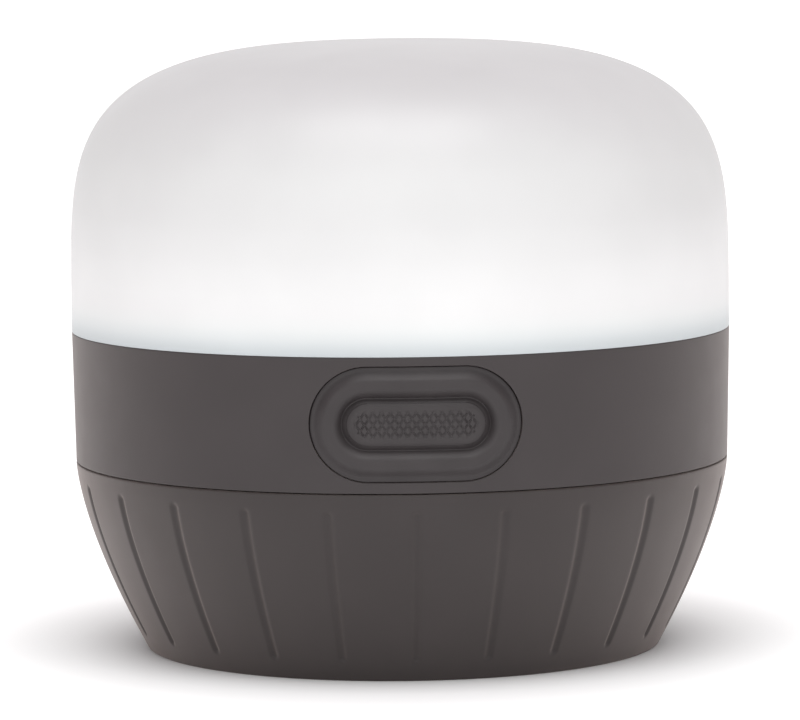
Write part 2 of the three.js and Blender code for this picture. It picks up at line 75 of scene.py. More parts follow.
def radii(node, z_to=math.inf):
    """Distances from the Z axis of a CAD node's vertices that lie no higher than this."""
    points = (v.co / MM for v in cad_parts[node].data.vertices)
    return [math.hypot(p.x, p.y) for p in points if p.z <= z_to]


BODY_RADIUS = max(radii("lamp_housing"))
SEAM_RADIUS = max(radii("base_shell"))
FOOT_RING = radii("base_shell", z_to=0.001)
FOOT_RADIUS = max(FOOT_RING)
RECESS_RADIUS = min(FOOT_RING)
BASE_TOP = high("base_shell")[2]
SEAM_GAP = 0.14
HOUSING_BOTTOM = BASE_TOP + SEAM_GAP
HOUSING_TOP = high("lamp_housing")[2]
COLLAR_BOTTOM = low("lamp_housing")[2]
SPIGOT_BOTTOM = low("globe")[2]
GLOBE_GAP = 0.03
GLOBE_BOTTOM = HOUSING_TOP + GLOBE_GAP
GLOBE_TOP = high("globe")[2]
GLOBE_SIDE_CURVE = 2.95
GLOBE_TOP_CURVE = 4.56
BASE_TAPER = 1.47
BUTTON_Z = middle("button_surround")[2]
OVAL_HALF = 4.65
POSTS = [middle(f"board_screw_{i}")[:2] for i in range(1, 5)]
BOSSES = [middle(f"plate_screw_{i}")[:2] for i in range(1, 5)]


# ---- shapes

def rounded(outline, radius):
    """A closed outline with its corners turned into arcs. A third number gives a corner its own."""
    steps = 4
    nearly_straight = math.radians(172)
    longest_cut = 0.45
    result = []
    for i, corner in enumerate(outline):
        here = Vector(corner[:2])
        back = Vector(outline[i - 1][:2]) - here
        ahead = Vector(outline[(i + 1) % len(outline)][:2]) - here
        size = corner[2] if len(corner) > 2 else radius
        turn = back.angle(ahead)
        if size <= 0 or turn > nearly_straight:
            result.append(tuple(here))
            continue
        size = min(size, longest_cut * math.tan(turn / 2) * min(back.length, ahead.length))
        reach = size / math.tan(turn / 2)
        start = here + back.normalized() * reach
        end = here + ahead.normalized() * reach
        centre = here + (back.normalized() + ahead.normalized()).normalized() * size / math.sin(turn / 2)
        for step in range(steps + 1):
            spoke = (start - centre).slerp(end - centre, step / steps)
            result.append(tuple(centre + spoke * size))
    return result


def strip(first, second, closed=True):
    """Quads between two rows of vertex numbers of one length."""
    count = len(first)
    edges = count if closed else count - 1
    return [(first[i], first[(i + 1) % count], second[(i + 1) % count], second[i]) for i in range(edges)]


def place(x=0, y=0, z=0, along="Z"):
    """The matrix that takes a shape made along +Z to a place, turned along another axis."""
    quarters, about = {"Z": (0, "X"), "-Z": (2, "X"), "X": (1, "Y"), "-X": (-1, "Y"), "Y": (-1, "X")}[along]
    return Matrix.Translation((x, y, z)) @ Matrix.Rotation(quarters * math.pi / 2, 4, about)


def around(radius, azimuth, z):
    """A point at a distance from the Z axis, at an azimuth from -Y towards +X, and at a height."""
    return (radius * math.sin(azimuth), -radius * math.cos(azimuth), z)


def arc(cx, cy, radius, start, end, steps):
    """Points round a centre in a plane, from one angle to another."""
    angles = [start + (end - start) * i / steps for i in range(steps + 1)]
    return [(cx + radius * math.cos(angle), cy + radius * math.sin(angle)) for angle in angles]


class Shape:
    """Points in millimetres and faces, gathered from parts and then made into one object."""

    def __init__(self):
        self.points = []
        self.faces = []

    def add(self, points, faces, matrix=None):
        """Adds points, and faces that number them from 0."""
        first = len(self.points)
        self.points += [matrix @ Vector(p) if matrix else Vector(p) for p in points]
        self.faces += [tuple(first + v for v in face) for face in faces]
        return self

    def rows(self, rows, closed_rows=True, closed_ring=True, caps=False, matrix=None):
        """A grid of rows with as many points each, joined row to row. Caps close its two ends."""
        count = len(rows[0])
        numbers = [range(i * count, (i + 1) * count) for i in range(len(rows))]
        start = 0 if closed_rows and not caps else 1
        faces = [q for i in range(start, len(rows)) for q in strip(numbers[i - 1], numbers[i], closed_ring)]
        if caps:
            faces += [tuple(numbers[0]), tuple(numbers[-1])]
        return self.add([p for row in rows for p in row], faces, matrix)

    def lathe(self, outline, rounding=0.0, columns=160, matrix=None):
        """A solid of revolution about Z from a closed outline of (radius, z), with rounded corners."""
        rows = [[around(r, TAU * c / columns, z) for c in range(columns)]
                for r, z in (rounded(outline, rounding) if rounding else outline)]
        return self.rows(rows, matrix=matrix)

    def rod(self, radius, length, matrix=None, columns=40, rounding=0.0):
        """A solid cylinder from the origin along +Z."""
        return self.lathe([(0, 0), (radius, 0), (radius, length), (0, length)], rounding, columns, matrix)

    def block(self, lowest, highest, bevel=0.0, matrix=None):
        """A box between two corners, with rounded edges if it has a bevel."""
        work = bmesh.new()
        bmesh.ops.create_cube(work, size=1)
        for v in work.verts:
            v.co = Vector([lo + (hi - lo) * (c + 0.5) for lo, hi, c in zip(lowest, highest, v.co)])
        if bevel:
            bmesh.ops.bevel(work, geom=work.edges, offset=bevel, segments=3, profile=0.5, affect="EDGES")
        work.verts.index_update()
        points = [v.co.copy() for v in work.verts]
        faces = [[v.index for v in face.verts] for face in work.faces]
        work.free()
        return self.add(points, faces, matrix)

    def build(self, name, look, sharp_angle=35):
        """A smooth-shaded object, welded and with its faces turned out."""
        weld = 2e-4 * MM
        mesh = bpy.data.meshes.new(name)
        mesh.from_pydata([p * MM for p in self.points], [], self.faces)
        work = bmesh.new()
        work.from_mesh(mesh)
        bmesh.ops.remove_doubles(work, verts=work.verts, dist=weld)
        bmesh.ops.delete(work, geom=[v for v in work.verts if not v.link_faces], context="VERTS")
        bmesh.ops.recalc_face_normals(work, faces=work.faces)
        work.to_mesh(mesh)
        work.free()
        mesh.materials.append(LOOKS[look].material)
        thing = bpy.data.objects.new(name, mesh)
        bpy.context.scene.collection.objects.link(thing)
        return shade(thing, sharp_angle)


def round_edges(thing, width):
    """A bevel modifier on the edges where a thing turns by more than 40 degrees."""
    edges = thing.modifiers.new("bevel", "BEVEL")
    edges.width = width * MM
    edges.segments = 3
    edges.limit_method = "ANGLE"
    edges.angle_limit = math.radians(40)
    return edges


def shade(thing, sharp_angle=35, bevel=0.0):
    """Smooth shading apart from sharp edges, which a bevel can round."""
    thing.data.shade_smooth()
    thing.data.set_sharp_from_angle(angle=math.radians(sharp_angle))
    if bevel:
        round_edges(thing, bevel).harden_normals = True
    else:
        thing.modifiers.new("weighted", "WEIGHTED_NORMAL").keep_sharp = True
    return thing


def blank(name, shape, look):
    """A shape as an object without modifiers, ready for combine."""
    thing = shape.build(name, look)
    thing.modifiers.clear()
    return thing


def combine(thing, operation, *shapes):
    """Joins shapes to an object, cuts them from it or keeps what they share, one after another."""
    for shape in shapes:
        tool = blank("tool", shape, "body")
        step = thing.modifiers.new("step", "BOOLEAN")
        step.operation = operation
        step.solver = "EXACT"
        step.object = tool
        result = bpy.data.meshes.new_from_object(thing.evaluated_get(bpy.context.evaluated_depsgraph_get()))
        thing.modifiers.clear()
        result.name = thing.name
        thing.data = result
        bpy.data.objects.remove(tool)


def hand_in(thing, body, node):
    """Says which body a piece rides on, and the CAD node that it stands for."""
    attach(thing, body)
    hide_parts(node)


# ---- materials

def srgb(red, green, blue):
    """A linear colour from sRGB numbers of 0 to 255."""
    def linear(v):
        v /= 255
        return v / 12.92 if v <= 0.04045 else ((v + 0.055) / 1.055) ** 2.4
    return (linear(red), linear(green), linear(blue), 1)


def grey(value):
    """A grey, as a linear colour."""
    return (value, value, value, 1)


def set_inputs(node, **values):
    """Sets a shader node's inputs, with an underscore for each space in a name."""
    for name, value in values.items():
        node.inputs[name.replace("_", " ")].default_value = value


def map_range(tree, value, **ends):
    """A number carried from one range to another. Each runs from 0 to 1, apart from the ends given."""
    span = tree.nodes.new("ShaderNodeMapRange")
    set_inputs(span, **ends)
    tree.links.new(value, span.inputs["Value"])
    return span.outputs["Result"]


def color_ramp(tree, factor, stops, interpolation="CARDINAL"):
    """Colours at stops of a factor, as (position, colour)."""
    ramp = tree.nodes.new("ShaderNodeValToRGB")
    ramp.color_ramp.interpolation = interpolation
    elements = ramp.color_ramp.elements
    while len(elements) < len(stops):
        elements.new(1)
    for element, (position, color) in zip(elements, stops):
        element.position = position
        element.color = color
    tree.links.new(factor, ramp.inputs["Fac"])
    return ramp.outputs["Color"]


class Look:
    """A Principled material made of a few procedural layers."""

    def __init__(self, name, color, roughness, **sockets):
        self.material = bpy.data.materials.new(name)
        self.material.use_nodes = True
        self.tree = self.material.node_tree
        self.node = self.tree.nodes.new
        self.link = self.tree.links.new
        self.shader = self.tree.nodes["Principled BSDF"]
        self.color = color
        self.roughness = roughness
        set_inputs(self.shader, Base_Color=color, Roughness=roughness, **sockets)
        self.place = self.node("ShaderNodeTexCoord").outputs["Object"]

    def noise(self, size, detail=2.0, stretch=(1, 1, 1)):
        """Noise whose features are about this many millimetres across."""
        mapping = self.node("ShaderNodeMapping")
        set_inputs(mapping, Scale=stretch)
        self.link(self.place, mapping.inputs["Vector"])
        noise = self.node("ShaderNodeTexNoise")
        set_inputs(noise, Scale=1 / (size * MM), Detail=detail)
        self.link(mapping.outputs["Vector"], noise.inputs["Vector"])
        return noise.outputs["Fac"]

    def along(self, axis, start, end):
        """A number that goes from 0 to 1 between two places on an axis, in millimetres."""
        parts = self.node("ShaderNodeSeparateXYZ")
        self.link(self.place, parts.inputs["Vector"])
        return map_range(self.tree, parts.outputs[axis], From_Min=start * MM, From_Max=end * MM)

    def mottle(self, size, other_color):
        """The base colour runs to another colour in soft patches."""
        patches = [(0.35, self.color), (0.65, other_color)]
        self.color_from = color_ramp(self.tree, self.noise(size), patches)
        self.link(self.color_from, self.shader.inputs["Base Color"])
        return self

    def shaded(self, factor, stops):
        """Multiplies the mottled colour by colours at stops of a factor."""
        mix = self.node("ShaderNodeMix")
        mix.data_type = "RGBA"
        mix.blend_type = "MULTIPLY"
        set_inputs(mix, Factor=1)
        color_in = [socket for socket in mix.inputs if socket.type == "RGBA"]
        self.link(self.color_from, color_in[0])
        self.link(color_ramp(self.tree, factor, stops), color_in[1])
        color_out = next(socket for socket in mix.outputs if socket.type == "RGBA")
        self.link(color_out, self.shader.inputs["Base Color"])
        return self

    def uneven(self, size, spread):
        """Roughness that wanders about its value."""
        span = map_range(self.tree, self.noise(size),
                         To_Min=self.roughness - spread, To_Max=self.roughness + spread)
        self.link(span, self.shader.inputs["Roughness"])
        return self

    def grain(self, size, height, detail=2.0, stretch=(1, 1, 1)):
        """A moulded or brushed surface: bumps this far apart and this high, in millimetres."""
        bump = self.node("ShaderNodeBump")
        set_inputs(bump, Distance=height * MM)
        self.link(self.noise(size, detail, stretch), bump.inputs["Height"])
        self.link(bump.outputs["Normal"], self.shader.inputs["Normal"])
        return self


def globe_look():
    """Frosted white, with painted light along its height: painted shade with a cool tint at the lower rim,
    a painted glow just above the light plate, and painted shade towards the top.
    """
    look = Look("frosted globe", srgb(222, 222, 222), 0.42).mottle(12, srgb(225, 225, 225))
    # The colours along Z are painted light and shade, not the plastic's own colour.
    look.shaded(look.along("Z", GLOBE_BOTTOM, GLOBE_TOP), [
        (0, (0.66, 0.71, 0.73, 1)), (0.043, (0.82, 0.86, 0.87, 1)), (0.083, (0.95, 0.97, 0.97, 1)),
        (0.14, grey(1)), (0.19, grey(1)), (0.3, grey(0.945)), (0.42, grey(0.88)),
        (0.62, grey(0.825)), (0.9, (0.73, 0.72, 0.73, 1))])
    return look.grain(0.25, 0.0015).uneven(4, 0.03)


def cell_look(name, positive_end):
    """A cell's wrap with a plain pale band next to its positive end, and bare metal at both ends."""
    wrap = srgb(52, 82, 112)
    band = srgb(205, 205, 200)
    metal = srgb(190, 188, 182)
    half_wrap = 21.3
    look = Look(name, wrap, 0.35)
    span = look.along("X", -half_wrap * positive_end, half_wrap * positive_end)
    for socket, stops in (
            ("Base Color", [(0, metal), (0.005, wrap), (0.74, band), (0.985, metal)]),
            ("Metallic", [(0, grey(1)), (0.005, grey(0)), (0.985, grey(1))])):
        look.link(color_ramp(look.tree, span, stops, "CONSTANT"), look.shader.inputs[socket])
    return look.uneven(3, 0.06).grain(0.4, 0.002)


def body_look(name, sheen, color, other_color):
    """Matt, faintly grained plastic that turns paler where it is seen edge on."""
    look = Look(name, color, 0.5, Sheen_Weight=sheen, Sheen_Roughness=0.5, Sheen_Tint=srgb(250, 232, 224))
    return look.mottle(6, other_color).uneven(3, 0.05).grain(0.12, 0.005, 3)


def floor_look():
    """A pale floor that glows so it looks evenly white, except near the lantern's foot, where its emission
    fades to nothing: a painted shadow.
    """
    reach = 60 * FOOT_RADIUS * MM
    look = Look("floor", srgb(236, 236, 236), 0.7, Emission_Strength=0.55).mottle(300, srgb(239, 239, 239))
    length = look.node("ShaderNodeVectorMath")
    length.operation = "LENGTH"
    look.link(look.place, length.inputs[0])
    span = map_range(look.tree, length.outputs["Value"], From_Min=FOOT_RADIUS * MM, From_Max=reach)
    # Emission is zero at the foot and rises outward: a painted contact shadow round the lantern.
    floor_glow_and_painted_shadow = color_ramp(look.tree, span, [(0, grey(0)), (0.013, grey(0.65)), (0.6, grey(1))])
    look.link(floor_glow_and_painted_shadow, look.shader.inputs["Emission Color"])
    return look


LOOKS = {
    "body": body_look("housing plastic", 0.17, srgb(44, 38, 39), srgb(47, 41, 42)),
    "base": body_look("base plastic", 0.32, srgb(35, 28, 28), srgb(38, 31, 31)),
    "button": Look("button rubber", srgb(45, 40, 41), 0.55)
        .mottle(3, srgb(49, 44, 45)).uneven(1.5, 0.05).grain(0.1, 0.005, 3),
    "globe": globe_look(),
    "white_plastic": Look("white plastic", srgb(240, 240, 236), 0.4)
        .mottle(5, srgb(236, 236, 232)).uneven(3, 0.06).grain(0.3, 0.002),
    "black_plastic": Look("black plastic", srgb(30, 30, 31), 0.5)
        .mottle(5, srgb(36, 36, 37)).uneven(3, 0.08).grain(0.15, 0.006, 3),
    "hook": Look("hook plastic", srgb(44, 42, 42), 0.34)
        .mottle(4, srgb(49, 47, 46)).uneven(2, 0.06).grain(0.3, 0.003),
    "seal": Look("seal rubber", srgb(34, 34, 34), 0.8)
        .mottle(2, srgb(42, 42, 42)).uneven(1, 0.08).grain(0.1, 0.006, 3),
    "board": Look("solder mask", srgb(28, 74, 48), 0.35)
        .mottle(1.6, srgb(44, 98, 64)).uneven(2, 0.06).grain(0.6, 0.004),
    "capacitor": Look("ceramic", srgb(150, 124, 86), 0.5)
        .mottle(0.6, srgb(164, 138, 98)).uneven(1, 0.08).grain(0.2, 0.004),
    "led": Look("phosphor lens", srgb(236, 206, 84), 0.12, Coat_Weight=0.6)
        .mottle(0.8, srgb(242, 216, 104)).uneven(1, 0.04).grain(0.3, 0.001),
    "nickel": Look("nickel sheet", srgb(196, 192, 184), 0.26, Metallic=1)
        .mottle(4, srgb(184, 180, 172)).uneven(2, 0.08).grain(0.25, 0.003, 2, (1, 1, 8)),
    "steel": Look("zinc-plated steel", srgb(160, 160, 162), 0.32, Metallic=1)
        .mottle(1.5, srgb(142, 142, 146)).uneven(1, 0.08).grain(0.2, 0.003, 2, (1, 6, 1)),
    "cell": cell_look("cell wrap", 1),
    "cell_reversed": cell_look("cell wrap reversed", -1),
    "floor": floor_look(),
}


# ---- screws and threads

def thread_ridges(shape, root, crest, z):
    """Three helical ridges between two radii, each narrower at its crest and run out at its ends."""
    starts = 3
    lead = 15.0
    root_half = 0.45
    crest_half = 0.324
    sweep = math.radians(36)
    steps = 24
    end_height = 0.15
    end_slope = 4
    for start in range(starts):
        rows = []
        for i in range(steps + 1):
            along = sweep * (i / steps - 0.5)
            azimuth = start * TAU / starts + along
            run_out = min(1.0, end_height + end_slope * min(i, steps - i) / steps)
            tip = root + (crest - root) * run_out
            section = [(root, -root_half), (tip, -crest_half), (tip, crest_half), (root, root_half)]
            rows.append([(r * math.cos(azimuth), r * math.sin(azimuth), z + dz + lead * along / TAU)
                         for r, dz in section])
        shape.rows(rows, caps=True)


def make_screw(name, body, head_radius, head_height):
    """A pan-head screw with a cross recess and a fine thread, in place of a CAD screw."""
    x, y, _ = middle(name)
    head_up = name.startswith("board")
    tip = low(name)[2] if head_up else high(name)[2]
    seat = (high(name)[2] - low(name)[2]) - head_height
    top = seat + head_height
    shank = 0.85
    root = shank * 0.78
    pitch = 0.55
    plain = 0.6
    first = 0.35
    thread = [(0, 0), (shank * 0.5, 0)]
    for i in range(int((seat - plain) / pitch)):
        thread += [(root, first + i * pitch), (shank, first + (i + 0.5) * pitch)]
    outline = thread + [
        (shank, seat), (head_radius, seat), (head_radius, seat + head_height * 0.45),
        (head_radius * 0.8, seat + head_height * 0.85), (head_radius * 0.4, top), (0, top)]
    screw = blank(name + "_pan_head", Shape().lathe(outline, columns=40), "steel")
    slot = head_radius * 0.55
    slot_half = 0.2
    slot_bottom = top - head_height * 0.5
    for half_x, half_y in ((slot, slot_half), (slot_half, slot)):
        cross = Shape().block((-half_x, -half_y, slot_bottom), (half_x, half_y, top + 1))
        combine(screw, "DIFFERENCE", cross)
    screw.data.transform(Matrix.Scale(MM, 4) @ place(x, y, tip, "Z" if head_up else "-Z")
                         @ Matrix.Scale(1 / MM, 4))
    hand_in(shade(screw, 30), body, name)


def make_screws():
    """Four screws of each kind."""
    for i in range(1, 5):
        make_screw(f"plate_screw_{i}", "base", 1.7, 1.2)
        make_screw(f"board_screw_{i}", "head", 1.8, 1.1)
        make_screw(f"carrier_screw_{i}", "head", 1.8, 1.2)


# ---- globe

def superellipse(radius, bottom, height, steps):
    """The globe's outline from its lower edge to its top, as (radius, z)."""
    outline = []
    for i in range(steps + 1):
        angle = math.pi / 2 * i / steps
        r = radius * math.cos(angle) ** (2 / GLOBE_SIDE_CURVE) if i < steps else 0.0
        outline.append((r, bottom + height * math.sin(angle) ** (2 / GLOBE_TOP_CURVE)))
    return outline


def make_globe():
    """A hollow dome with a spigot that plugs into the housing."""
    wall = 1.8
    rim = 1.5
    spigot_outside = BODY_RADIUS - 2.7
    spigot_inside = spigot_outside - 1.2
    lip = GLOBE_BOTTOM + 0.6
    height = GLOBE_TOP - GLOBE_BOTTOM
    outer = superellipse(BODY_RADIUS, GLOBE_BOTTOM, height, 96)
    inner = superellipse(BODY_RADIUS - wall, GLOBE_BOTTOM + rim, height - rim - wall, 48)
    edge = rounded([
        (spigot_inside, GLOBE_BOTTOM + rim), (spigot_inside, SPIGOT_BOTTOM),
        (spigot_outside, SPIGOT_BOTTOM), (spigot_outside, GLOBE_BOTTOM),
        (BODY_RADIUS, GLOBE_BOTTOM, 0.05), (BODY_RADIUS, lip, 0)], 0.15)
    outline = edge + [p for p in outer if p[1] > lip] + inner[::-1]
    globe = Shape().lathe(outline, columns=192).build("globe_shell", "globe")
    hand_in(globe, "head", "globe")


# ---- the button's oval

# Steps of a quarter turn of the oval that face the patch's side, and its upper or lower edge.
SIDE_STEPS = 8
EDGE_STEPS = 7
STRAIGHT_STEPS = 22


def oval_stations(straight_steps, arc_steps):
    """Round the oval: (centre x, normal x, normal z), from which a point at any offset follows."""
    stations = []
    for side in (1, -1):
        for i in range(straight_steps):
            stations.append((side * OVAL_HALF * (1 - 2 * i / straight_steps), 0, side))
        for i in range(arc_steps):
            angle = math.pi * i / arc_steps
            stations.append((-side * OVAL_HALF, -side * math.sin(angle), side * math.cos(angle)))
    return stations


def in_front(x, z, radius):
    """The point at an x and a z on the -Y side of a cylinder about the Z axis."""
    return (x, -math.sqrt(radius * radius - x * x), z)


def oval_ring(stations, offset, radius):
    """Points round the oval at an offset from its middle line and a distance from the Z axis."""
    return [in_front(centre + offset * nx, BUTTON_Z + offset * nz, radius) for centre, nx, nz in stations]


def smoothstep(t):
    """0 up to 0, 1 from 1, and an S-shaped rise between them."""
    t = max(0.0, min(1.0, t))
    return t * t * (3 - 2 * t)


# ---- housing

POCKET_OFFSET = 5.6
POCKET_RADIUS = 32.0
PAD_HOLE_OFFSET = 2.15
PATCH_HALF_ANGLE = math.radians(26)
HOUSING_INSIDE = BODY_RADIUS - 2.4


def wall_radius(z):
    """The housing's outside: slightly wider towards the globe."""
    share = (z - HOUSING_BOTTOM) / (HOUSING_TOP - HOUSING_BOTTOM)
    return SEAM_RADIUS + (BODY_RADIUS - SEAM_RADIUS) * share


def patch_azimuths():
    """Azimuths of the patch's columns round the button, from its left edge to its right."""
    inner = math.asin(OVAL_HALF / BODY_RADIUS)
    beside = [inner + (PATCH_HALF_ANGLE - inner) * i / EDGE_STEPS for i in range(1, EDGE_STEPS + 1)]
    across = [inner * (2 * i / STRAIGHT_STEPS - 1) for i in range(STRAIGHT_STEPS + 1)]
    return [-a for a in reversed(beside)] + across + beside


def wall_heights(z_from, z_to):
    """Heights of a wall's rows, with one at each station of the patch's sides."""
    return ([z_from + (BUTTON_Z - z_from) * i / SIDE_STEPS for i in range(SIDE_STEPS)]
            + [BUTTON_Z + (z_to - BUTTON_Z) * i / SIDE_STEPS for i in range(SIDE_STEPS + 1)])


def patch_edge(rows, top_row, bottom_row, last):
    """Vertex numbers round the edge of the patch, one for each station of the oval."""
    down = 1 if bottom_row > top_row else -1
    top, bottom = rows[top_row], rows[bottom_row]
    return [
        *top[last - EDGE_STEPS:0:-1],
        *(rows[i][0] for i in range(top_row, bottom_row, down)),
        *bottom[:last],
        *(rows[i][last] for i in range(bottom_row, top_row, -down)),
        *top[last:last - EDGE_STEPS:-1]]


def blend(stations, edge, offset, radius_at, steps):
    """Rings on a wall, from the oval out to the patch's edge, closer together at the oval."""
    crowding = 1.3
    rings = []
    for step in range(steps):
        share = (step / steps) ** crowding
        ring = []
        for (centre, nx, nz), (edge_x, _, edge_z) in zip(stations, edge):
            x = (centre + offset * nx) * (1 - share) + edge_x * share
            z = (BUTTON_Z + offset * nz) * (1 - share) + edge_z * share
            ring.append(in_front(x, z, radius_at(z)))
        rings.append(ring)
    return rings


def pocket(stations, outer_edge, inner_edge):
    """Rings from the patch's edge outside, through the pocket and the pad's hole, to its edge inside."""
    edge_round = 0.08
    round_steps = 4
    lip = []
    for step in range(1, round_steps + 1):
        angle = math.pi / 2 * step / round_steps
        ring = oval_ring(stations, POCKET_OFFSET + edge_round * (1 - math.sin(angle)), BODY_RADIUS)
        sunk = edge_round * (1 - math.cos(angle))
        lip.append([in_front(x, z, wall_radius(z) - sunk) for x, _, z in ring])
    walls = [oval_ring(stations, offset, radius) for offset, radius in (
        (POCKET_OFFSET, POCKET_RADIUS), (PAD_HOLE_OFFSET, POCKET_RADIUS),
        (PAD_HOLE_OFFSET, HOUSING_INSIDE + 0.1))]
    outside = blend(stations, outer_edge, POCKET_OFFSET + edge_round, wall_radius, 5)
    inside = blend(stations, inner_edge, PAD_HOLE_OFFSET + 0.1, lambda z: HOUSING_INSIDE, 4)
    return outside[::-1] + lip + walls + inside


def add_posts(housing, web_outside, web_top):
    """Posts with a blind screw hole in each end, and a web from each post to the collar."""
    bottom = low("battery_carrier")[2] + 3.7
    top = low("main_board")[2] - 0.1
    hole = 1
    hole_depth = 5.3
    post = 2.3
    web_half = 0.6
    for x, y in POSTS:
        housing.lathe([
            (0, bottom + hole_depth), (hole, bottom + hole_depth), (hole, bottom), (post, bottom),
            (post, top), (hole, top), (hole, top - hole_depth), (0, top - hole_depth)],
            0.12, 48, place(x, y))
        turn = Matrix.Rotation(math.atan2(y, x), 4, "Z")
        housing.block((math.hypot(x, y) + 1.5, -web_half, bottom + 0.5), (web_outside, web_half, web_top),
                      0.1, turn)


def make_housing():
    """The housing: turned all round, but with an oval pocket and hole for the button on one side."""
    patch = patch_azimuths()
    rest = 150
    gap = TAU - 2 * PATCH_HALF_ANGLE
    azimuths = patch + [PATCH_HALF_ANGLE + gap * i / rest for i in range(1, rest)]
    lip = 0.3
    collar_outside = 30.0
    collar_inside = 29.0
    shelf_top = 20.8
    ledge_inside = 29.3
    ledge_top = SPIGOT_BOTTOM - 0.7
    ledge_bottom = ledge_top - 0.7
    thread_crest = 30.9
    thread_z = 15.6
    outer_wall = [(wall_radius(z), z) for z in wall_heights(HOUSING_BOTTOM + lip, HOUSING_TOP - lip)]
    inner_wall = [(HOUSING_INSIDE, z) for z in wall_heights(shelf_top + lip, ledge_bottom - lip)]
    lower = rounded([
        outer_wall[0] + (0,), (SEAM_RADIUS, HOUSING_BOTTOM, 0.08), (collar_outside, HOUSING_BOTTOM),
        (collar_outside, COLLAR_BOTTOM), (collar_inside, COLLAR_BOTTOM), (collar_inside, shelf_top),
        (HOUSING_INSIDE, shelf_top), inner_wall[0] + (0,)], 0.2)[1:-1]
    upper = rounded([
        inner_wall[-1] + (0,), (HOUSING_INSIDE, ledge_bottom), (ledge_inside, ledge_bottom),
        (ledge_inside, ledge_top), (HOUSING_INSIDE, ledge_top), (HOUSING_INSIDE, HOUSING_TOP),
        (BODY_RADIUS, HOUSING_TOP, 0.07), outer_wall[-1] + (0,)], 0.2)[1:-1]
    outline = outer_wall[::-1] + lower + inner_wall + upper
    columns = len(azimuths)
    points = [around(r, a, z) for r, z in outline for a in azimuths]
    rows = [range(i * columns, (i + 1) * columns) for i in range(len(outline))]
    wall_rows = len(outer_wall)
    inner_first = wall_rows + len(lower)
    last = len(patch) - 1
    faces = []
    for i in range(len(rows)):
        in_wall = 1 <= i < wall_rows or inner_first < i < inner_first + wall_rows
        faces += strip(rows[i - 1], rows[i])[last if in_wall else 0:]
    outer_edge = patch_edge(rows, 0, wall_rows - 1, last)
    inner_edge = patch_edge(rows, inner_first + wall_rows - 1, inner_first, last)
    # The oval starts at its right-hand end, so the edges do too.
    stations = oval_stations(STRAIGHT_STEPS, SIDE_STEPS * 2 + EDGE_STEPS * 2)
    chain = [outer_edge]
    for ring in pocket(stations, [points[v] for v in outer_edge], [points[v] for v in inner_edge]):
        chain.append(range(len(points), len(points) + len(ring)))
        points += ring
    chain.append(inner_edge)
    for first, second in zip(chain, chain[1:]):
        faces += strip(first, second)
    housing = Shape().add(points, faces)
    thread_ridges(housing, collar_outside - 0.3, thread_crest, thread_z)
    add_posts(housing, collar_inside + 0.3, shelf_top - 0.3)
    hand_in(housing.build("housing_shell", "body"), "head", "lamp_housing")


# ---- button

PAD_FACE = 33.4
PAD_EDGE = 1.5
PAD_SIDE = 2.05
CHANNEL_OFFSET = 2.5
CHANNEL = 32.85


def channel_side(offset):
    """Radius of the slope from the pad's edge down into the channel, shared by pad and surround."""
    share = (offset - PAD_EDGE) / (CHANNEL_OFFSET - PAD_EDGE)
    return PAD_FACE - (PAD_FACE - CHANNEL) * share ** 2


def make_surround():
    """One rubber moulding: a flat flange, a round rim, and the channel round the pad."""
    flange = 33.04
    crest = 33.72
    back = 32.1
    hole = PAD_SIDE + 0.015
    outside = 5.55
    start = 5.25
    rim_foot = 5.2
    rim_width = 1.05
    rim_middle = 4
    rise_width = 1.0
    profile = rounded([(hole, back), (outside, back), (outside, flange, 0.1), (start, flange, 0)], 0.05)
    steps = 48
    for i in range(1, steps + 1):
        offset = start - (start - hole) * i / steps
        if offset > rim_middle:
            radius = flange + (crest - flange) * smoothstep((rim_foot - offset) / rim_width)
        elif offset > CHANNEL_OFFSET:
            turn = math.pi / 2 * min(1.0, (offset - CHANNEL_OFFSET) / rise_width)
            radius = CHANNEL + (crest - CHANNEL) * math.sin(turn)
        else:
            radius = channel_side(offset)
        profile.append((offset, radius))
    stations = oval_stations(30, 64)
    surround = Shape().rows([oval_ring(stations, offset, radius) for offset, radius in profile])
    hand_in(surround.build("button_surround_soft", "button", 60), "head", "button_surround")


def knurl(x, z, offset):
    """Depth of two crossing sets of fine grooves, which leave diamonds and end before the edge."""
    pitch_x = 0.83
    pitch_z = 1.17
    depth = 0.14
    half_groove = 0.23  # as a share of the pitch
    end = 1.45
    fade = 0.3
    a = x / pitch_x + z / pitch_z
    b = x / pitch_x - z / pitch_z
    from_groove = min(abs(a - round(a)), abs(b - round(b)))
    return depth * (1 - smoothstep(from_groove / half_groove)) * smoothstep((end - offset) / fade)


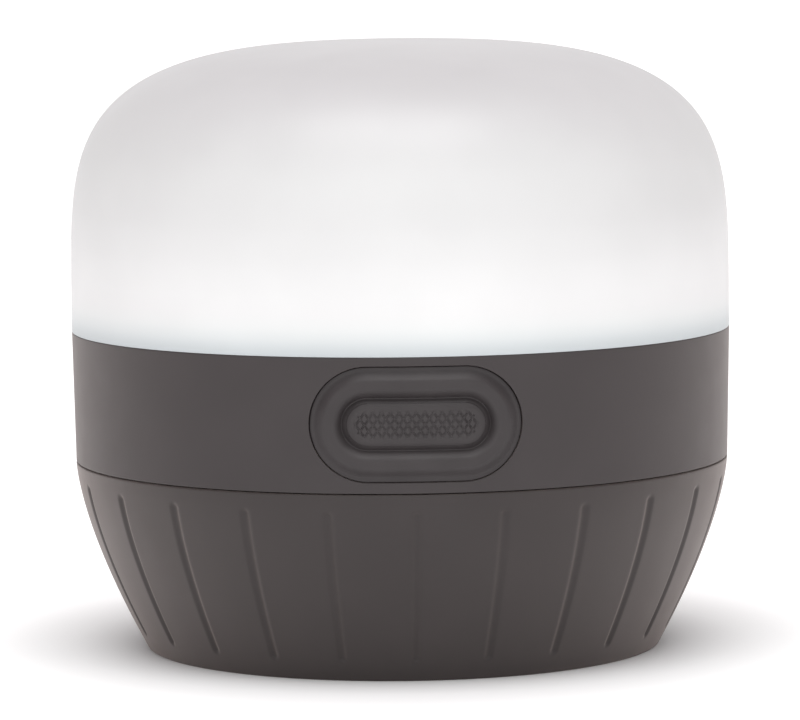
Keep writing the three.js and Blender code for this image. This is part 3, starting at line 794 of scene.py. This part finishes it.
def make_pad():
    """The pad that is pressed, slightly crowned and knurled, with a wide flat tail behind the wall."""
    crown = 0.08
    steps = 32
    slope_steps = 8
    neck = 1.7
    tail = 2.42
    tail_flat = 2.3
    tail_front = 30.6
    tail_back = low("tact_switch")[1] - 2.2
    corner = 0.15
    stations = oval_stations(112, 48)
    rows = []
    for i in range(steps + 1):
        offset = PAD_EDGE * i / steps
        radius = PAD_FACE + crown * (1 - (offset / PAD_EDGE) ** 2)
        ring = oval_ring(stations, offset, radius)
        rows.append([in_front(x, z, radius - knurl(x, z - BUTTON_Z, offset)) for x, _, z in ring])
    slope = [PAD_EDGE + (PAD_SIDE - PAD_EDGE) * i / slope_steps for i in range(1, slope_steps + 1)]
    behind = [(PAD_SIDE, 32.56), (neck, 32.36), (neck, tail_front + 0.02), (tail_flat, tail_front),
              (tail, tail_front - corner)]
    for offset, radius in [(s, channel_side(s)) for s in slope] + behind:
        rows.append(oval_ring(stations, offset, radius))
    for offset, inset in ((tail, corner), (tail_flat, 0), (0, 0)):
        rows.append([(centre + offset * nx, tail_back - inset, BUTTON_Z + offset * nz)
                     for centre, nx, nz in stations])
    pad = Shape().rows(rows, closed_rows=False)
    pad.rod(1.2, 0.8, place(0, tail_back - 0.2, BUTTON_Z, "Y"), 32, 0.1)
    hand_in(pad.build("button_pad_knurled", "button", 60), "button", "button_pad")


def make_switch():
    """The switch behind the button: a square body with a round plunger in its bore."""
    bore = 1.8
    plunger_radius = 1.6
    front = low("tact_switch")[1]
    square = Shape().block(low("tact_switch"), high("tact_switch"))
    body = blank("tact_switch_body", square, "black_plastic")
    combine(body, "DIFFERENCE", Shape().rod(bore, 1.6, place(0, front - 0.1, BUTTON_Z, "Y"), 48))
    hand_in(shade(body, bevel=0.12), "head", "tact_switch")
    tip = low("switch_plunger")[1]
    length = high("switch_plunger")[1] - tip
    plunger = Shape().rod(plunger_radius, length, place(0, tip, BUTTON_Z, "Y"), 48, 0.2)
    hand_in(plunger.build("switch_plunger_round", "white_plastic"), "plunger",
            "switch_plunger")


# ---- base

GROOVE_COUNT = 24
GROOVE_HALF_WIDTH = 0.7
GROOVE_DEPTH = 0.24
GROOVE_BOTTOM = 1.8
GROOVE_TOP = 17.7


def base_radius(z):
    """The base's outside, which tapers faster towards the foot."""
    share = max(0.0, (BASE_TOP - z) / BASE_TOP)
    return SEAM_RADIUS - (SEAM_RADIUS - FOOT_RADIUS) * share ** BASE_TAPER


def groove_depth(across, z):
    """Depth of a grip groove with round ends, at a distance from its middle line and a height."""
    half = GROOVE_HALF_WIDTH
    beyond = max(0.0, z - (GROOVE_TOP - half), (GROOVE_BOTTOM + half) - z)
    away = math.hypot(across, beyond)
    return GROOVE_DEPTH * (0.5 + 0.5 * math.cos(math.pi * away / half)) if away < half else 0.0


def make_base():
    """The cup: a tapered outside with grip grooves, a threaded rim and a recess underneath."""
    pitch = TAU / GROOVE_COUNT
    beside = [1.1, 2.2, 3.3]
    across = ([-s for s in reversed(beside)] + [GROOVE_HALF_WIDTH * s / 5 for s in range(-7, 8)]
              + beside + [pitch * SEAM_RADIUS / 2])
    columns = [(g * pitch + s / SEAM_RADIUS, s) for g in range(GROOVE_COUNT) for s in across]
    # The rows lie closer together at both ends of the grooves.
    close = [0.13 * i for i in range(9)]
    apart = [0.6 * i for i in range(23)]
    heights = ([0.1, 0.3, 0.8, 1.3] + [GROOVE_BOTTOM - 0.1 + h for h in close] + [3.2 + h for h in apart]
               + [GROOVE_TOP - 0.9 + h for h in close] + [18.2, BASE_TOP - 0.3])
    rows = []
    for z in heights:
        rows.append([around(base_radius(z) - groove_depth(s, z), azimuth, z) for azimuth, s in columns])
    wall = 1.8
    step_inside = 32.35
    rim_inside = 31.2
    gasket_seat = 18.2
    recess_outside = 24.9
    channel = 2.6
    recess_top = 8.3
    thread_crest = 30.3
    thread_z = 16.8
    inside = rounded([
        (SEAM_RADIUS, BASE_TOP - 0.3, 0), (SEAM_RADIUS, BASE_TOP, 0.12), (step_inside, BASE_TOP),
        (step_inside, gasket_seat), (rim_inside, gasket_seat), (rim_inside, COLLAR_BOTTOM - 0.1, 0.6),
        (base_radius(11.5) - wall, 11.5, 2), (base_radius(7) - wall, 7, 3),
        (base_radius(channel) - wall, channel), (recess_outside, channel), (recess_outside, recess_top),
        (RECESS_RADIUS, recess_top), (RECESS_RADIUS, 0, 0.3), (FOOT_RADIUS, 0, 0.2),
        (base_radius(0.4), 0.4, 0)], 0.2)[1:-1]
    for r, z in inside:
        rows.append([around(r, azimuth, z) for azimuth, _ in columns])
    base = Shape().rows(rows)
    thread_ridges(base, rim_inside + 0.2, thread_crest, thread_z)
    boss = 2.6
    bore = 1.9
    hole = 1.1
    bottom = 1.5
    top = recess_top - 0.2
    under_head = 6.4
    bore_top = high("plate_screw_1")[2] - under_head + 0.2
    for x, y in BOSSES:
        base.lathe([
            (bore, bottom), (boss, bottom, 0.2), (boss, top), (hole, top), (hole, bore_top),
            (bore, bore_top)], 0.1, 48, place(x, y))
    hand_in(base.build("base_cup", "base"), "base", "base_shell")


def make_hook_plate():
    """The plate inside the base, with screw bosses, and two ears that carry the hook pins."""
    bottom = 9.0
    thickness = 1.2
    radius = 24.8
    root = bottom + 0.3
    boss = 2
    boss_height = 1.7
    pin_radius = 1
    pin_hole = 1.1
    ear_radius = 2.2
    ear_inside = 9.9
    ear_width = 1.8
    pins = ("hook_pin_front", "hook_pin_back")
    pivots = [middle(name) for name in pins]
    _, pivot_y, pivot_z = pivots[1]
    disc = Shape().rod(radius, thickness, place(z=bottom), 160)
    plate = blank("hook_plate_moulded", disc, "black_plastic")
    combine(plate, "UNION", *[Shape().rod(boss, boss_height, place(x, y, root)) for x, y in BOSSES])
    outline = ([(pivot_y + ear_radius, root)]
               + arc(pivot_y, pivot_z, ear_radius, 0, -math.pi / 2, 12)
               + arc(-pivot_y, pivot_z, ear_radius, -math.pi / 2, -math.pi, 12)
               + [(-pivot_y - ear_radius, root)])
    for x in (ear_inside, -ear_inside - ear_width):
        ear = Shape().rows([[(x + t, y, h) for y, h in outline] for t in (0, ear_width)], caps=True)
        combine(plate, "UNION", ear)
        combine(plate, "DIFFERENCE",
                *[Shape().rod(pin_hole, 3, place(x - 0.5, y, h, "X")) for _, y, h in pivots])
    hand_in(shade(plate, bevel=0.15), "base", "hook_plate")
    for name, (_, y, h) in zip(pins, pivots):
        end = high(name)[0]
        pin = Shape().rod(pin_radius, 2 * end, place(-end, y, h, "X"), rounding=0.15)
        hand_in(pin.build(name + "_turned", "steel"), "base", name)


def make_hooks():
    """Two J-shaped hooks that fold flat, each the other turned half round."""
    half = 1.6
    arm = 7.9
    bend_y = 9.5
    tip_y = 8.5
    barrel = 2.2
    bore = 1.1
    outline = ([(-arm + half, 0), (-arm - half, 0)]
               + arc(0, bend_y, arm + half, math.pi, 0, 48)
               + arc(arm, tip_y, half, 0, -math.pi, 20)
               + arc(0, bend_y, arm - half, 0, math.pi, 40))
    length = 2 * arm + 2 * half
    for side, turned in (("back", 0), ("front", math.pi)):
        name = f"hang_hook_{side}"
        _, y, z = middle(f"hook_pin_{side}")
        turn = Matrix.Translation((0, y, z)) @ Matrix.Rotation(turned, 4, "Z")
        flat = Shape().rows([[(px, py, h) for px, py in outline] for h in (-half, half)],
                            caps=True, matrix=turn)
        hook = blank(name + "_moulded", flat, "hook")
        combine(hook, "UNION", Shape().rod(barrel, length, turn @ place(-length / 2, 0, 0, "X"), 64))
        combine(hook, "DIFFERENCE", Shape().rod(bore, length + 2, turn @ place(-length / 2 - 1, 0, 0, "X")))
        hand_in(shade(hook, bevel=0.55), f"hook_{side}", name)


def make_gaskets():
    """The three rubber rings, each on its body."""
    for name, body in (("base_gasket", "seal"), ("plate_gasket", "base"), ("globe_gasket", "head")):
        inner, outer = min(radii(name)), max(radii(name))
        bottom, top = levels(name)
        ring = Shape().lathe([(inner, bottom), (outer, bottom), (outer, top), (inner, top)],
                             0.4 * min(outer - inner, top - bottom))
        hand_in(ring.build(name + "_ring", "seal"), body, name)


# ---- cells, contacts and carrier

CELL_PITCH = 10.9


def make_cells():
    """Three AAA cells side by side, the middle one the other way round."""
    for i in range(1, 4):
        name = f"aaa_cell_{i}"
        _, y, z = middle(name)
        forward = i != 2
        start = low(name)[0] if forward else high(name)[0]
        length = high(name)[0] - low(name)[0]
        flats = 20
        radius = (high(name)[1] - low(name)[1]) / 2 / math.cos(math.pi / flats)
        shoulder = length - 1
        recess = shoulder - 0.25
        button = 1.9
        cell = Shape().lathe([
            (0, 0), (radius * 0.82, 0, 0.1), (radius * 0.86, 0.25, 0.1), (radius, 0.25, 0.4),
            (radius, shoulder, 0.5), (3.6, shoulder, 0.1), (3.4, recess, 0.1),
            (button, recess, 0.1), (button, length, 0.4), (0, length)],
            0.1, 96, place(start, y, z, "X" if forward else "-X"))
        look = "cell" if forward else "cell_reversed"
        hand_in(cell.build(name + "_wrapped", look), "head", name)


def make_springs():
    """Conical coils of wire, which start flat at the plate."""
    wire = 0.25
    sides = 10
    steps = 150
    turns = 3.25
    wide = 3.3
    taper = 1.4
    flat = 0.2
    for i, forward in ((1, 1), (2, -1), (3, 1)):
        name = f"contact_spring_{i}"
        _, y, z = middle(name)
        x_low, x_high = low(name)[0], high(name)[0]
        start, end = (x_low + wire, x_high - wire) if forward > 0 else (x_high - wire, x_low + wire)
        rows = []
        for step in range(steps + 1):
            t = step / steps
            angle = TAU * turns * t
            radius = wide - taper * smoothstep(1.3 * t - 0.3)
            x = start + (end - start) * max(0.0, (t - flat) / (1 - flat))
            outward = Vector((0, math.cos(angle), math.sin(angle)))
            centre = Vector((x, y, z)) + outward * radius
            rows.append([centre + outward * wire * math.cos(TAU * k / sides)
                         + Vector((forward, 0, 0)) * wire * math.sin(TAU * k / sides)
                         for k in range(sides)])
        spring = Shape().rows(rows, caps=True)
        hand_in(spring.build(name + "_coil", "steel", 60), "head", name)


def make_carrier():
    """The moulded tray over the cells: end walls, side walls and dividers under one roof."""
    bottom, top = levels("battery_carrier")
    half_length = 26
    end_wall = 24.75
    half_width = 1.5 * CELL_PITCH + 1.1
    side_end = 20
    side_wall = 1
    divider_end = 18
    divider_half = 0.9
    divider_bottom = 20.6
    within_collar = 28.7
    roof = top - 1.2
    wall_top = roof + 0.1
    ear = 2.4
    ear_bottom = bottom + 2
    ear_height = 1.6
    arm = ear - 0.1
    hole = 1.1
    cell_bore = 5.4
    cell_z = middle("aaa_cell_1")[2]
    roof_block = Shape().block((-half_length, -half_width, roof), (half_length, half_width, top))
    walls = [
        ((end_wall, -half_width, bottom), (half_length, half_width, wall_top)),
        ((-half_length, -half_width, bottom), (-end_wall, half_width, wall_top)),
        ((-side_end, -half_width, ear_bottom), (side_end, -half_width + side_wall, wall_top)),
        ((-side_end, half_width - side_wall, ear_bottom), (side_end, half_width, wall_top))]
    for y in (-CELL_PITCH / 2, CELL_PITCH / 2):
        walls.append(((-divider_end, y - divider_half, divider_bottom),
                      (divider_end, y + divider_half, wall_top)))
    tray = blank("battery_tray", roof_block, "black_plastic")
    combine(tray, "UNION", *[Shape().block(*corners) for corners in walls])
    combine(tray, "INTERSECT", Shape().rod(within_collar, 40, columns=160))
    for x, y in POSTS:
        wall_y = math.copysign(half_width - side_wall / 2, y)
        combine(tray, "UNION", Shape().rod(ear, ear_height, place(x, y, ear_bottom), 48),
                Shape().block((x - arm, min(y, wall_y), ear_bottom + 0.1),
                              (x + arm, max(y, wall_y), ear_bottom + ear_height - 0.1)))
        combine(tray, "DIFFERENCE", Shape().rod(hole, 4, place(x, y, ear_bottom - 1)))
    cells = [Shape().rod(cell_bore, 2 * end_wall, place(-end_wall, row * CELL_PITCH, cell_z, "X"), 96)
             for row in (-1, 0, 1)]
    slots = [Shape().block((x, y - 1.5, roof - 1), (x + 1, y + 1.5, top + 1))
             for x, y in ((end_wall - 0.8, -CELL_PITCH), (-end_wall - 0.2, CELL_PITCH))]
    combine(tray, "DIFFERENCE", *cells, *slots)
    hand_in(shade(tray, bevel=0.15), "head", "battery_carrier")


# ---- board, LED and reflector

def make_board():
    """The round board, with a hole at each post."""
    hole = 1.1
    bottom, top = levels("main_board")
    radius = max(radii("main_board"))
    disc = Shape().lathe([(0, bottom), (radius, bottom), (radius, top), (0, top)])
    board = blank("main_board_disc", disc, "board")
    combine(board, "DIFFERENCE", *[Shape().rod(hole, 4, place(x, y, bottom - 1)) for x, y in POSTS])
    hand_in(shade(board, bevel=0.1), "head", "main_board")


def make_reflector():
    """The white plate over the board, with a flared opening round the LED."""
    bottom, top = levels("reflector_plate")
    radius = max(radii("main_board"))
    hole = 1
    opening = 4.2
    flare = 6.4
    disc = Shape().lathe([
        (opening, bottom), (radius, bottom), (radius, top), (flare, top), (opening, bottom + 0.3)])
    plate = blank("reflector_disc", disc, "white_plastic")
    combine(plate, "DIFFERENCE", *[Shape().rod(hole, 4, place(x, y, bottom - 1)) for x, y in POSTS])
    hand_in(shade(plate, bevel=0.15), "head", "reflector_plate")


def make_lens():
    """The LED's lens: a short cylinder under a flattened dome."""
    bottom, top = levels("led_lens")
    radius = 1.5
    rise = 1.3
    steps = 16
    angles = [math.pi / 2 * i / steps for i in range(steps)]
    dome = [(radius * math.cos(a), top - rise + rise * math.sin(a)) for a in angles]
    lens = Shape().lathe([(0, bottom), (radius, bottom)] + dome + [(0, top)], columns=64)
    hand_in(lens.build("led_lens_dome", "led"), "head", "led_lens")


def dress(node, look, bevel):
    """A CAD node that is shown as it is, with rounded edges. Its slot has the name of its look."""
    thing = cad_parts[node]
    thing.data.materials.clear()
    thing.data.materials.append(LOOKS[look].material)
    round_edges(thing, bevel)


def dress_small_parts():
    """The contacts, the LED and the components on the board."""
    for name in ("positive", "negative", "bridge_left", "bridge_right"):
        dress("contact_" + name, "nickel", 0.08)
    dress("led_package", "white_plastic", 0.12)
    dress("driver_chip", "black_plastic", 0.12)
    dress("power_inductor", "black_plastic", 0.4)
    for node in ("capacitor_1", "capacitor_2"):
        dress(node, "capacitor", 0.12)


# ---- studio

def make_camera():
    """A long lens, a little above the lantern's middle."""
    azimuth = math.radians(-2.45)
    elevation = math.radians(5.38)
    roll = math.radians(-0.598)
    distance = 0.517
    turns_about = Vector((0, 0, 0.031))
    looks_at = Vector((-0.00009, 0, 0.02886))
    data = bpy.data.cameras.new("camera")
    data.lens = 228.4
    data.clip_start = 0.01
    camera = bpy.data.objects.new("camera", data)
    bpy.context.scene.collection.objects.link(camera)
    outward = Vector(around(math.cos(elevation), azimuth, math.sin(elevation)))
    camera.location = turns_about + outward * distance
    track = (looks_at - camera.location).to_track_quat("-Z", "Y").to_matrix()
    camera.rotation_euler = (track @ Matrix.Rotation(roll, 3, "Z")).to_euler()
    bpy.context.scene.camera = camera


def make_light(name, where, size, power):
    """A rectangular lamp that faces the lantern's middle. Places and sizes are in metres."""
    middle_of_lantern = Vector((0, 0, 0.03))
    data = bpy.data.lights.new(name, "AREA")
    data.shape = "RECTANGLE"
    data.size, data.size_y = size
    data.energy = power
    light = bpy.data.objects.new(name, data)
    light.location = where
    light.rotation_euler = (middle_of_lantern - Vector(where)).to_track_quat("-Z", "Y").to_euler()
    bpy.context.scene.collection.objects.link(light)


def make_tent():
    """A world that is white behind the lantern and at the horizon, grey above and paler in front."""
    world = bpy.data.worlds.new("studio")
    world.use_nodes = True
    tree = world.node_tree
    link = tree.links.new
    parts = tree.nodes.new("ShaderNodeSeparateXYZ")
    link(tree.nodes.new("ShaderNodeTexCoord").outputs["Generated"], parts.inputs["Vector"])
    back_to_front = map_range(tree, parts.outputs["Y"], From_Min=1, From_Max=-1)
    walls = color_ramp(tree, back_to_front, [
        (0.02, grey(1)), (0.12, (0.7, 0.69, 0.68, 1)), (0.24, (0.66, 0.62, 0.62, 1)),
        (0.38, (0.46, 0.40, 0.42, 1)), (0.54, (0.42, 0.37, 0.39, 1)), (0.68, grey(0.74))], "LINEAR")
    above_horizon = map_range(tree, parts.outputs["Z"], From_Min=0.04, From_Max=0.07)
    mix = tree.nodes.new("ShaderNodeMixRGB")
    set_inputs(mix, Color1=grey(1))
    link(above_horizon, mix.inputs["Fac"])
    link(walls, mix.inputs["Color2"])
    background = tree.nodes["Background"]
    link(mix.outputs["Color"], background.inputs["Color"])
    set_inputs(background, Strength=1.1)
    bpy.context.scene.world = world


def make_studio():
    """The tent, two large soft lamps and a pale floor."""
    bpy.context.scene.view_settings.view_transform = "Standard"
    make_tent()
    make_light("key", (-0.05, -0.9, 0.45), (0.8, 0.5), 1.1)
    make_light("overhead", (0, -0.25, 0.8), (0.7, 0.5), 3.5)
    half_width, front, back = 6000, -3000, 9000
    floor = Shape().rows([[(-half_width, y, 0), (half_width, y, 0)] for y in (front, back)],
                         closed_rows=False, closed_ring=False).build("floor", "floor")


make_camera()
make_studio()
make_globe()
make_housing()
make_surround()
make_pad()
make_switch()
make_base()
make_hook_plate()
make_hooks()
make_gaskets()
make_cells()
make_springs()
make_carrier()
make_board()
make_reflector()
make_lens()
make_screws()
dress_small_parts()
